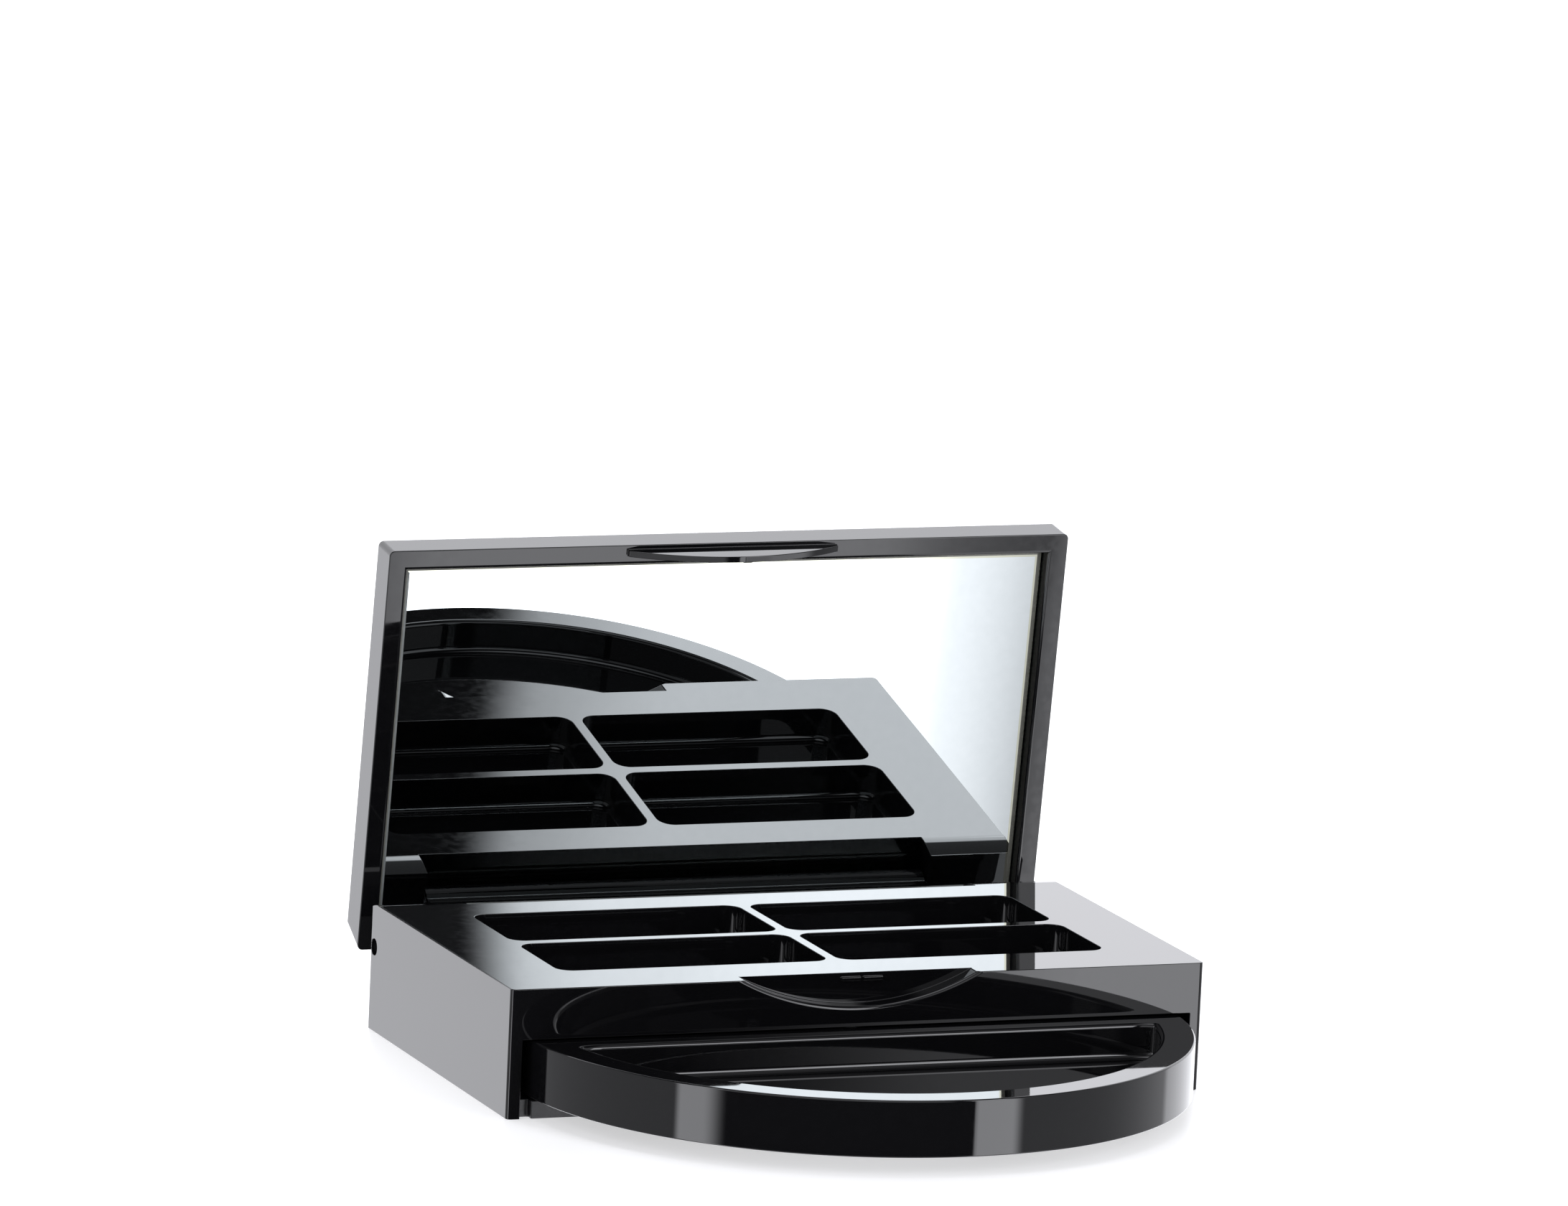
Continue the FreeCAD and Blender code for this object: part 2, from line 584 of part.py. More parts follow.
def add_latch_tongue(body):
    """Hang the latch tongue from the front of the lid frame, with the snap bead behind its tip."""
    tongue_front = lid_front + dim.tongue_inset
    half_tongue = dim.tongue_width / 2
    shoulder = lid_face - dim.tongue_end_height
    rise = dim.tongue_height - dim.tongue_end_height
    radius = segment_radius(dim.tongue_width, rise)
    root = lid_face + dim.edge_round
    sketch = new_sketch(body, "tongue_outline", "XZ_Plane", -tongue_front)
    draw_loop(sketch, [
        (-half_tongue, shoulder),
        (half_tongue, shoulder),
        (half_tongue, root),
        (-half_tongue, root),
    ], {0: (radius, (NOTHING, shoulder - rise + radius), True)})
    extrude(body, "Pad", "latch_tongue", sketch, dim.tongue_thickness, reverse=True)

    back = tongue_front + dim.tongue_thickness
    bead_low = lid_face - dim.tongue_height + dim.bead_tip_gap
    sketch = new_sketch(body, "bead_outline", "YZ_Plane", dim.catch_offset - dim.bead_width / 2)
    draw_loop(sketch, [
        (back - dim.tongue_thickness / 2, bead_low),
        (back, bead_low),
        (back + dim.bead_proud, bead_low + dim.bead_height / 2),
        (back, bead_low + dim.bead_height),
        (back - dim.tongue_thickness / 2, bead_low + dim.bead_height),
    ])
    extrude(body, "Pad", "snap_bead", sketch, dim.bead_width)


def make_sheet(label, half_x, front, rear, low, thickness):
    """Flat rectangular sheet that lies in the mirror bed of the lid."""
    body = new_body(label)
    sketch = new_sketch(body, f"{label}_outline", "XY_Plane", low)
    draw_rectangle(sketch, -half_x, half_x, front, rear)
    extrude(body, "Pad", f"{label}_sheet", sketch, thickness)
    stand_open(body)
    return body


def make_mirror():
    """Mirror glass in the lid."""
    half_x = half_width - dim.frame_width - dim.mirror_gap
    return make_sheet("mirror", half_x, mirror_front + dim.mirror_gap, mirror_rear - dim.mirror_gap,
                      lid_face + dim.mirror_sink, dim.mirror_thickness)


def make_adhesive():
    """Adhesive sheet between the mirror and the lid."""
    inset = dim.mirror_gap + dim.adhesive_inset
    half_x = half_width - dim.frame_width - inset
    low = lid_face + dim.mirror_sink + dim.mirror_thickness
    return make_sheet("mirror_adhesive", half_x, mirror_front + inset, mirror_rear - inset,
                      low, dim.adhesive_thickness)


def check_model(parts):
    """Stop where a feature failed, cut nothing or left a part that is not one valid solid."""
    for item in doc.Objects:
        if {"Invalid", "Error"} & set(item.State):
            raise RuntimeError(f"{item.Label} failed: {item.State}")
        if item.TypeId in ("PartDesign::Pocket", "PartDesign::Groove"):
            if item.Shape.Volume > item.BaseFeature.Shape.Volume - TOLERANCE:
                raise RuntimeError(f"{item.Label} cuts nothing")
    for part in parts:
        shape = part.Shape
        if shape.isNull() or not shape.isValid() or len(shape.Solids) != 1:
            raise RuntimeError(f"{part.Label} is not one valid solid")


parts = [
    make_base_body(),
    make_bottom_plate(),
    make_lid_shell(),
    make_mirror(),
    make_adhesive(),
    make_hinge_pin(-1),
    make_hinge_pin(1),
    make_swivel_tray(),
    make_pivot_pin(),
    make_washer(),
]
doc.recompute()
check_model(parts)
os.makedirs("parts", exist_ok=True)
for part in parts:
    part.Shape.exportStep(f"parts/{part.Label}.step")
    print(f"{part.Label}: {part.Shape.Volume:.1f} cubic mm")
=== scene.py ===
import json
import logging
import math
from dataclasses import dataclass, field
from enum import Enum
from typing import Callable

import bmesh
import bpy
from mathutils import Matrix, Vector


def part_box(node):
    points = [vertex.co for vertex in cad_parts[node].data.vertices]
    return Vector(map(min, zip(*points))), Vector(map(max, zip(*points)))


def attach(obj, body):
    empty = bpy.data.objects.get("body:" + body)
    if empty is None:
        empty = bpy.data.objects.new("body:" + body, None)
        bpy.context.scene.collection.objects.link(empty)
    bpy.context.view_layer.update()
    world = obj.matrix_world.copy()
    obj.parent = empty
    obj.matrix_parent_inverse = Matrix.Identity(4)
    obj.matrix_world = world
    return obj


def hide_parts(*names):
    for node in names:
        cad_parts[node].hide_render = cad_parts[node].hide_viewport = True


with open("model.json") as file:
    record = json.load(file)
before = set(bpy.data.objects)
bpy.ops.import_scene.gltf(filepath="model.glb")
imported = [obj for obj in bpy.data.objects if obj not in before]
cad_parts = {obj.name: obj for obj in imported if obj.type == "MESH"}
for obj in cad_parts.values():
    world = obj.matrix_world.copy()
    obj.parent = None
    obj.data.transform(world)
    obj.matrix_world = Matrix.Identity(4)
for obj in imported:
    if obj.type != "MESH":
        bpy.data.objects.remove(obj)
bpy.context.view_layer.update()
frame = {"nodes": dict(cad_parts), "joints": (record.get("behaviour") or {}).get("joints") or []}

# Pieces are modelled in millimetres and settled into the frame's metres at the end
MM = 0.001

# How far a cutting shape runs past the piece, and how close two places count as one
OVERCUT = 2.0
NEAR = 1e-3

# Flats round a rod and facets across a rounded edge
FINE_SIDES = 360
MEDIUM_SIDES = 128
SMALL_SIDES = 64
CORNER_STEPS = 12
ROUND_STEPS = 8
BROKEN_EDGE_STEPS = 2
ROUND_PROFILE = 0.5

# What counts as one point, one flat and a sharp edge, and how much a large face leads the shading
MERGE_DISTANCE = 1e-4
FLAT_ANGLE = math.radians(0.05)
SHARP_ANGLE = math.radians(32)
FACE_WEIGHT = 100

# Share of a face's normal along an axis from which it counts as facing that way
FACING = 0.99

# Degrees of bearing and of height
HALF_TURN = 180.0
QUARTER_TURN = 90.0

# Detail of a finish's two noise patterns, and the stretch of the grain that roughness follows
WAVE_DETAIL = 1.0
GRAIN_DETAIL = 3.0
GRAIN_LOW = 0.3
GRAIN_HIGH = 0.7

log = logging.getLogger("palette")

Point = Vector | tuple[float, float, float]
EdgeTest = Callable[[Vector, Vector], bool]
Colour = tuple[float, float, float, float]
Value = bpy.types.NodeSocket | float


class Axis(Enum):
    """Direction that a rod runs in, as the turn from upright."""

    X = (0.0, math.pi / 2, 0.0)
    Y = (math.pi / 2, 0.0, 0.0)
    Z = (0.0, 0.0, 0.0)


class Join(Enum):
    """Way in which one shape acts on another."""

    CUT = "DIFFERENCE"
    WELD = "UNION"
    COMMON = "INTERSECT"


class Body(Enum):
    """Moving bodies of the palette."""

    BASE = "base"
    LID = "lid"
    TRAY = "tray"


def joint_named(name: str) -> dict:
    """Return a joint of the frame.

    Args:
        name: name of the joint.

    Returns:
        The joint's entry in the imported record.
    """
    return next(joint for joint in frame["joints"] if joint["name"] == name)


def node_box(node: str) -> tuple[Vector, Vector]:
    """Return where a CAD node lies.

    Args:
        node: name of the node.

    Returns:
        Its lowest and highest corners in millimetres.
    """
    low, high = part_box(node)
    return low / MM, high / MM


def arc_radius(chord: float, rise: float) -> float:
    """Return the radius of an arc.

    Args:
        chord: length of its chord.
        rise: height of its middle over the chord.

    Returns:
        The radius, in the same unit.
    """
    return (chord * chord / 4 + rise * rise) / (rise * 2)


class Bench:
    """Modelling steps made with Blender's operators, on objects that lie at the origin."""

    @staticmethod
    def take(*objects: bpy.types.Object) -> None:
        """Select objects and nothing else.

        Args:
            objects: the objects, of which the first becomes the active one.
        """
        bpy.ops.object.select_all(action="DESELECT")
        for item in objects:
            item.select_set(True)
        bpy.context.view_layer.objects.active = objects[0]

    @staticmethod
    def _place(name: str) -> bpy.types.Object:
        """Name the new primitive and put its place into its mesh.

        Args:
            name: name of the object and of its mesh.

        Returns:
            The object.
        """
        piece = bpy.context.active_object
        piece.name = name
        piece.data.name = name
        bpy.ops.object.transform_apply(location=True, rotation=True, scale=True)
        return piece

    @staticmethod
    def block(name: str, low: Point, high: Point) -> bpy.types.Object:
        """Add a block.

        Args:
            name: name of the object.
            low: lowest corner.
            high: highest corner.

        Returns:
            The block.
        """
        low, high = Vector(low), Vector(high)
        bpy.ops.object.select_all(action="DESELECT")
        bpy.ops.mesh.primitive_cube_add(size=1.0, location=(low + high) / 2, scale=high - low)
        return Bench._place(name)

    @staticmethod
    def rod(name: str, axis: Axis, radius: float, middle: Vector, length: float,
            sides: int = SMALL_SIDES) -> bpy.types.Object:
        """Add a round rod.

        Args:
            name: name of the object.
            axis: direction it runs in.
            radius: its radius.
            middle: its middle point.
            length: its length.
            sides: number of flats round it.

        Returns:
            The rod.
        """
        bpy.ops.object.select_all(action="DESELECT")
        bpy.ops.mesh.primitive_cylinder_add(
            vertices=sides, radius=radius, depth=length, location=middle, rotation=axis.value)
        return Bench._place(name)

    @staticmethod
    def edit(piece: bpy.types.Object, mode: str) -> bmesh.types.BMesh:
        """Open a piece for editing with nothing selected.

        Args:
            piece: the piece.
            mode: what is picked, VERT, EDGE or FACE.

        Returns:
            Its mesh, open for selection.
        """
        Bench.take(piece)
        bpy.ops.object.mode_set(mode="EDIT")
        bpy.ops.mesh.select_mode(type=mode)
        bpy.ops.mesh.select_all(action="DESELECT")
        return bmesh.from_edit_mesh(piece.data)

    @staticmethod
    def close() -> None:
        """Leave edit mode."""
        bpy.ops.object.mode_set(mode="OBJECT")

    @staticmethod
    def round_edges(piece: bpy.types.Object, radius: float, wanted: EdgeTest,
                    steps: int = ROUND_STEPS) -> None:
        """Round the edges of a piece that pass a test.

        Args:
            piece: the piece.
            radius: radius of the round.
            wanted: test on the two ends of an edge.
            steps: number of facets across the round.
        """
        shape = Bench.edit(piece, "EDGE")
        for edge in shape.edges:
            edge.select_set(wanted(edge.verts[0].co, edge.verts[1].co))
        bmesh.update_edit_mesh(piece.data)
        bpy.ops.mesh.bevel(
            offset=radius, segments=steps, profile=ROUND_PROFILE, affect="EDGES", clamp_overlap=False)
        Bench.close()

    @staticmethod
    def slice_off(piece: bpy.types.Object, point: Vector, away: Vector) -> None:
        """Cut a piece along a plane and close the cut.

        Args:
            piece: the piece.
            point: a point of the plane.
            away: direction of the side that is dropped.
        """
        Bench.edit(piece, "VERT")
        bpy.ops.mesh.select_all(action="SELECT")
        bpy.ops.mesh.bisect(plane_co=point, plane_no=away, use_fill=True, clear_outer=True)
        Bench.close()

    @staticmethod
    def combine(piece: bpy.types.Object, how: Join, *others: bpy.types.Object) -> None:
        """Let other shapes act on a piece, and use them up.

        Args:
            piece: the piece that stays.
            how: what they do to it.
            others: shapes that do not overlap each other.
        """
        tool = others[0]
        if len(others) > 1:
            Bench.take(*others)
            bpy.ops.object.join()
        modifier = piece.modifiers.new(how.name.lower(), "BOOLEAN")
        modifier.operation = how.value
        modifier.solver = "EXACT"
        modifier.object = tool
        Bench.take(piece)
        bpy.ops.object.modifier_apply(modifier=modifier.name)
        bpy.data.objects.remove(tool)

    @staticmethod
    def soften(piece: bpy.types.Object, radius: float) -> None:
        """Break every sharp edge with a small round and shade the piece evenly.

        Args:
            piece: the piece.
            radius: radius of the small round.
        """
        Bench.edit(piece, "VERT")
        bpy.ops.mesh.select_all(action="SELECT")
        bpy.ops.mesh.remove_doubles(threshold=MERGE_DISTANCE)
        bpy.ops.mesh.dissolve_limited(angle_limit=FLAT_ANGLE)
        Bench.close()
        bevel = piece.modifiers.new("broken_edges", "BEVEL")
        bevel.limit_method = "ANGLE"
        bevel.angle_limit = SHARP_ANGLE
        bevel.width = radius
        bevel.segments = BROKEN_EDGE_STEPS
        bevel.use_clamp_overlap = False
        bevel.miter_outer = "MITER_ARC"
        Bench.take(piece)
        bpy.ops.object.modifier_apply(modifier=bevel.name)
        bpy.ops.object.shade_smooth()
        even = piece.modifiers.new("even_shading", "WEIGHTED_NORMAL")
        even.weight = FACE_WEIGHT
        even.keep_sharp = False
        bpy.ops.object.modifier_apply(modifier=even.name)

    @staticmethod
    def settle(piece: bpy.types.Object, place: Matrix = Matrix.Identity(4)) -> None:
        """Bring a finished piece into the frame.

        Args:
            piece: the piece, in millimetres.
            place: where it goes, in millimetres.
        """
        piece.matrix_world = Matrix.Scale(MM, 4) @ place
        Bench.take(piece)
        bpy.ops.object.transform_apply(location=True, rotation=True, scale=True)

    @staticmethod
    def hand_over(piece: bpy.types.Object, body: Body, slot: str, *nodes: str) -> None:
        """Give a piece to a body of the frame.

        Args:
            piece: the piece, in place.
            body: body that it moves with.
            slot: material slot of the record; not used.
            nodes: CAD nodes that it stands for.
        """
        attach(piece, body.value)
        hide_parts(*nodes)
        log.info("%s: %d faces on %s", piece.name, len(piece.data.polygons), body.value)


class Sheet:
    """Node tree of a material or a world."""

    # Sockets of a colour mix, which share their names with those of its other kinds
    MIX_LOW = 6
    MIX_HIGH = 7
    MIX_RESULT = 2

    def __init__(self, tree: bpy.types.NodeTree) -> None:
        """Empty a tree and keep it."""
        self.tree = tree
        self.tree.nodes.clear()

    def add(self, kind: str, **settings: object) -> bpy.types.Node:
        """Add a node.

        Args:
            kind: type of the node.
            settings: its properties.

        Returns:
            The node.
        """
        node = self.tree.nodes.new(kind)
        for name, value in settings.items():
            setattr(node, name, value)
        return node

    def link(self, start: bpy.types.NodeSocket, end: bpy.types.NodeSocket) -> None:
        """Link an output to an input."""
        self.tree.links.new(start, end)

    def math(self, operation: str, first: Value, second: Value | None = None) -> bpy.types.NodeSocket:
        """Add a calculation.

        Args:
            operation: what is worked out.
            first: number or output.
            second: number or output, where the operation has two.

        Returns:
            The result.
        """
        node = self.add("ShaderNodeMath", operation=operation)
        for socket, value in zip(node.inputs, (first, second)):
            if isinstance(value, bpy.types.NodeSocket):
                self.link(value, socket)
            elif value is not None:
                socket.default_value = value
        return node.outputs["Value"]

    def ramp(self, value: bpy.types.NodeSocket, start: float, end: float, low: float,
             high: float) -> bpy.types.NodeSocket:
        """Map a value from one range to another, easing in at both ends.

        Args:
            value: the value.
            start: where the result is low.
            end: where the result is high.
            low: result at the start.
            high: result at the end.

        Returns:
            The result.
        """
        node = self.add("ShaderNodeMapRange", interpolation_type="SMOOTHSTEP")
        self.link(value, node.inputs["Value"])
        for name, number in (("From Min", start), ("From Max", end), ("To Min", low), ("To Max", high)):
            node.inputs[name].default_value = number
        return node.outputs["Result"]

    def place(self, stretch: tuple[float, float, float]) -> bpy.types.NodeSocket:
        """Return the piece's own coordinates.

        Args:
            stretch: how much they are stretched along each axis.

        Returns:
            The coordinates.
        """
        mapping = self.add("ShaderNodeMapping")
        mapping.inputs["Scale"].default_value = stretch
        self.link(self.add("ShaderNodeTexCoord").outputs["Object"], mapping.inputs["Vector"])
        return mapping.outputs["Vector"]

    def noise(self, place: bpy.types.NodeSocket, scale: float, detail: float) -> bpy.types.NodeSocket:
        """Return a noise pattern.

        Args:
            place: coordinates that it lies on.
            scale: number of waves to the metre.
            detail: number of finer layers.

        Returns:
            The pattern, from nought to one.
        """
        node = self.add("ShaderNodeTexNoise")
        node.inputs["Scale"].default_value = scale
        node.inputs["Detail"].default_value = detail
        self.link(place, node.inputs["Vector"])
        return node.outputs["Fac"]

    def between(self, share: bpy.types.NodeSocket, low: Colour, high: Colour) -> bpy.types.NodeSocket:
        """Return a colour between two colours.

        Args:
            share: how near it is to the second one.
            low: the first colour.
            high: the second colour.

        Returns:
            The colour.
        """
        node = self.add("ShaderNodeMix", data_type="RGBA")
        self.link(share, node.inputs["Factor"])
        node.inputs[self.MIX_LOW].default_value = low
        node.inputs[self.MIX_HIGH].default_value = high
        return node.outputs[self.MIX_RESULT]

    def bump(self, height: bpy.types.NodeSocket, depth: float) -> bpy.types.NodeSocket:
        """Return a normal that follows a height pattern.

        Args:
            height: the pattern.
            depth: its depth in metres.

        Returns:
            The normal.
        """
        node = self.add("ShaderNodeBump")
        node.inputs["Strength"].default_value = 1.0
        node.inputs["Distance"].default_value = depth
        self.link(height, node.inputs["Height"])
        return node.outputs["Normal"]


@dataclass(frozen=True)
class Finish:
    """Surface of a material, with a pattern in colour, in gloss and in height."""

    name: str
    dark: Colour
    light: Colour
    rough_low: float
    rough_high: float
    metallic: float = 0.0
    ior: float = 1.5
    wave_scale: float = 60.0
    wave_depth: float = 0.0
    grain_scale: float = 900.0
    stretch: tuple[float, float, float] = (1.0, 1.0, 1.0)
    glow: float = 0.0

    def material(self) -> bpy.types.Material:
        """Return the material, made once.

        Returns:
            A material whose colour, roughness and normal come from patterns on the piece.
        """
        known = bpy.data.materials.get(self.name)
        if known:
            return known
        made = bpy.data.materials.new(self.name)
        made.use_nodes = True
        made.diffuse_color = self.light
        sheet = Sheet(made.node_tree)
        place = sheet.place(self.stretch)
        grain = sheet.noise(place, self.grain_scale, GRAIN_DETAIL)
        rough = sheet.ramp(grain, GRAIN_LOW, GRAIN_HIGH, self.rough_low, self.rough_high)
        shader = sheet.add("ShaderNodeBsdfPrincipled")
        shader.inputs["Metallic"].default_value = self.metallic
        shader.inputs["IOR"].default_value = self.ior
        shader.inputs["Emission Color"].default_value = self.light
        shader.inputs["Emission Strength"].default_value = self.glow
        sheet.link(sheet.between(grain, self.dark, self.light), shader.inputs["Base Color"])
        sheet.link(rough, shader.inputs["Roughness"])
        if self.wave_depth:
            wave = sheet.noise(place, self.wave_scale, WAVE_DETAIL)
            sheet.link(sheet.bump(wave, self.wave_depth), shader.inputs["Normal"])
        sheet.link(shader.outputs["BSDF"], sheet.add("ShaderNodeOutputMaterial").inputs["Surface"])
        return made

    def dress(self, piece: bpy.types.Object) -> None:
        """Put the finish on all of a piece."""
        piece.data.materials.clear()
        piece.data.materials.append(self.material())


POLISHED_BLACK = Finish(
    "polished_black", (0.003, 0.003, 0.0035, 1), (0.004, 0.004, 0.0046, 1), 0.015, 0.035,
    wave_depth=4e-6)
SATIN_BLACK = Finish(
    "satin_black", (0.004, 0.004, 0.0045, 1), (0.008, 0.008, 0.009, 1), 0.28, 0.4,
    wave_scale=2600.0, wave_depth=6e-6)
SILVERED = Finish(
    "silvered_glass", (0.55, 0.585, 0.59, 1), (0.59, 0.625, 0.63, 1), 0.0, 0.006, metallic=1.0)
GLASS_EDGE = Finish(
    "ground_glass_edge", (0.25, 0.29, 0.24, 1), (0.5, 0.52, 0.42, 1), 0.2, 0.4, grain_scale=3000.0)
DARK_RIM = Finish(
    "dark_glass_rim", (0.14, 0.14, 0.12, 1), (0.18, 0.18, 0.155, 1), 0.2, 0.3)
# Painted reflection: the thin line round the mirror's silvering is cool grey on one side and warm cream
# on the other, standing in for what a bevelled edge would reflect of the surround
COOL_PAINTED_REFLECTION = Finish(
    "cool_painted_reflection_line", (0.19, 0.205, 0.2, 1), (0.24, 0.255, 0.25, 1), 0.3, 0.4, grain_scale=3000.0)
WARM_PAINTED_REFLECTION = Finish(
    "warm_painted_reflection_line", (0.47, 0.475, 0.39, 1), (0.51, 0.515, 0.43, 1), 0.0, 0.01, metallic=1.0)
DRAWN_STEEL = Finish(
    "drawn_steel", (0.3, 0.3, 0.31, 1), (0.5, 0.5, 0.51, 1), 0.25, 0.4, metallic=1.0,
    grain_scale=6000.0, stretch=(0.05, 1.0, 1.0))
WASHER_FILM = Finish(
    "washer_film", (0.62, 0.62, 0.6, 1), (0.75, 0.75, 0.73, 1), 0.35, 0.5)
ADHESIVE_FILM = Finish(
    "adhesive_film", (0.7, 0.7, 0.67, 1), (0.82, 0.82, 0.79, 1), 0.5, 0.7)
PALE_FLOOR = Finish(
    "pale_floor", (0.8, 0.8, 0.805, 1), (0.84, 0.84, 0.845, 1), 0.3, 0.4, grain_scale=40.0, glow=0.62)


@dataclass
class HingePlace:
    """Where the lid turns, in millimetres, and how far it stands open."""

    axis: Vector = field(default_factory=lambda: Vector(joint_named("lid_hinge")["pos_m"]) / MM)
    open_deg: float = field(default_factory=lambda: -joint_named("lid_hinge")["range_deg"][0])

    def stand(self) -> Matrix:
        """Return the place of a lid piece that is modelled closed on the hinge axis."""
        return Matrix.Translation(self.axis) @ Matrix.Rotation(math.radians(-self.open_deg), 4, "X")


@dataclass
class CaseBase:
    """Base with its deck wells, tray bay, thumb notch and hinge ears, and the plate below it."""

    corner_round: float = 0.6
    edge_round: float = 0.1
    broken_edge: float = 0.07
    side_wall: float = 1.45
    slot_top: float = 8.65
    bay_rear: float = 18.65
    ledge_width: float = 0.7
    ledge_height: float = 0.8
    ledge_front_inset: float = 6.0
    well_rows: int = 2
    well_length: float = 31.05
    well_width: float = 13.55
    well_depth: float = 3.9
    well_corner: float = 1.8
    well_floor_round: float = 0.8
    rib_across: float = 1.25
    rib_along: float = 1.46
    well_front_margin: float = 7.9
    notch_width: float = 27.0
    notch_drop: float = 3.35
    notch_depth: float = 2.0
    notch_lip_round: float = 0.4
    notch_lip_steps: int = 8
    catch_offset: float = 0.75
    catch_rib_width: float = 2.25
    catch_rib_gap: float = 0.3
    catch_rib_height: float = 0.4
    catch_rib_proud: float = 0.3
    catch_rib_drop: float = 0.5
    recess_width: float = 60.0
    recess_radius: float = 2.1
    ear_fall: float = 0.65
    pin_hole_radius: float = 0.93
    pivot_hole_radius: float = 1.52
    pivot_cover: float = 0.55
    plate_notch_width: float = 1.2
    plate_notch_depth: float = 1.0
    plate_pivot_bite: float = 1.2
    plate_broken_edge: float = 0.14
    hinge: HingePlace = field(default_factory=HingePlace)

    def __post_init__(self) -> None:
        """Read the outline and the tray's pivot from the frame."""
        self.low, self.high = node_box("base_body")
        self.pivot = Vector(joint_named("tray_swivel")["pos_m"]) / MM

    def build(self) -> None:
        """Make and dress the base, its plate and its pins."""
        shell = self._shell()
        POLISHED_BLACK.dress(shell)
        Bench.hand_over(shell, Body.BASE, "gloss_black", "base_body")
        plate = self._plate()
        SATIN_BLACK.dress(plate)
        Bench.hand_over(plate, Body.BASE, "plate_black", "bottom_plate")
        for node in ("hinge_pin_left", "hinge_pin_right", "tray_pivot_pin"):
            DRAWN_STEEL.dress(frame["nodes"][node])
        WASHER_FILM.dress(frame["nodes"]["tray_washer"])

    def _shell(self) -> bpy.types.Object:
        """Model the moulded base.

        Returns:
            The base, in place.
        """
        top = self.high.z
        shell = Bench.block("base_shell", self.low, self.high)
        Bench.round_edges(shell, self.corner_round, lambda a, b: abs(a.z - b.z) > NEAR)
        Bench.round_edges(shell, self.edge_round, lambda a, b: min(a.z, b.z) > top - NEAR)
        self._cut_bay(shell)
        self._cut_wells(shell)
        self._cut_hinge(shell)
        self._cut_notch(shell)
        Bench.soften(shell, self.broken_edge)
        Bench.settle(shell)
        return shell

    def _cut_bay(self, shell: bpy.types.Object) -> None:
        """Open the bay of the tray and leave the ledges that the plate seats against.

        Args:
            shell: the base.
        """
        reach = self.high.x - self.side_wall
        Bench.combine(shell, Join.CUT, Bench.block(
            "bay", (-reach, self.low.y - OVERCUT, self.low.z - OVERCUT),
            (reach, self.bay_rear, self.slot_top)))
        plate_top = node_box("bottom_plate")[1].z
        front = self.low.y + self.ledge_front_inset
        ledges = []
        for side in (-1, 1):
            across = sorted((side * (reach - self.ledge_width), side * (reach + self.side_wall / 2)))
            ledges.append(Bench.block(
                "ledge", (across[0], front, plate_top),
                (across[1], self.bay_rear + self.ledge_width, plate_top + self.ledge_height)))
        Bench.combine(shell, Join.WELD, *ledges)
        Bench.combine(shell, Join.CUT, Bench.rod(
            "pivot_hole", Axis.Z, self.pivot_hole_radius, Vector((0, self.pivot.y, self.slot_top)),
            2 * (self.high.z - self.notch_drop - self.pivot_cover - self.slot_top)))

    def _cut_wells(self, shell: bpy.types.Object) -> None:
        """Sink the four deck wells.

        Args:
            shell: the base.
        """
        floor = self.high.z - self.well_depth
        size = Vector((self.well_length, self.well_width, self.well_depth + OVERCUT))
        first = Bench.block("well", Vector((0, 0, floor)), Vector((0, 0, floor)) + size)
        Bench.round_edges(first, self.well_corner, lambda a, b: abs(a.z - b.z) > NEAR, CORNER_STEPS)
        Bench.round_edges(first, self.well_floor_round, lambda a, b: max(a.z, b.z) < floor + NEAR)
        wells = []
        for column in (-self.rib_across / 2 - self.well_length, self.rib_across / 2):
            for row in range(self.well_rows):
                front = self.low.y + self.well_front_margin + row * (self.well_width + self.rib_along)
                Bench.take(first)
                bpy.ops.object.duplicate()
                copy = bpy.context.active_object
                copy.location = (column, front, 0)
                bpy.ops.object.transform_apply(location=True)
                wells.append(copy)
        bpy.data.objects.remove(first)
        Bench.combine(shell, Join.CUT, *wells)

    def _cut_hinge(self, shell: bpy.types.Object) -> None:
        """Cut the recess of the knuckle, the rounded tops of the ears and the pin holes.

        Args:
            shell: the base.
        """
        axis = self.hinge.axis
        front = axis.y - self.recess_radius
        half = self.recess_width / 2
        recess = Bench.rod("recess", Axis.X, self.recess_radius, axis, self.recess_width, MEDIUM_SIDES)
        Bench.combine(recess, Join.WELD, Bench.block(
            "recess_top", (-half, front, axis.z), (half, self.high.y + OVERCUT, self.high.z + OVERCUT)))
        Bench.combine(shell, Join.CUT, recess)

        wide = self.high.x - self.low.x + 2 * OVERCUT
        radius = arc_radius(2 * (self.high.y - front), self.ear_fall)
        above = Bench.block(
            "above_ears", (-wide / 2, front, self.high.z - 2 * self.ear_fall),
            (wide / 2, self.high.y + OVERCUT, self.high.z + OVERCUT))
        middle = Vector((0, front, self.high.z - radius))
        Bench.combine(above, Join.CUT, Bench.rod(
            "ear_round", Axis.X, radius, middle, wide + OVERCUT, FINE_SIDES))
        Bench.combine(shell, Join.CUT, above)
        Bench.combine(shell, Join.CUT, Bench.rod(
            "pin_hole", Axis.X, self.pin_hole_radius, axis, self.high.x - self.low.x + OVERCUT))

    def _cut_notch(self, shell: bpy.types.Object) -> None:
        """Scoop the thumb notch out of the front and leave the catch ribs at its back.

        Args:
            shell: the base.
        """
        radius = arc_radius(self.notch_width, self.notch_drop)
        middle = self.high.z - self.notch_drop + radius
        front, back = self.low.y, self.low.y + self.notch_depth
        lip = self.notch_lip_round
        straight = back - front - lip
        scoop = Bench.rod(
            "scoop", Axis.Y, radius, Vector((0, back - straight / 2, middle)), straight, FINE_SIDES)
        for step in range(self.notch_lip_steps + 1):
            self._flare(scoop, radius, middle, front + lip, step)
        Bench.combine(shell, Join.CUT, scoop)

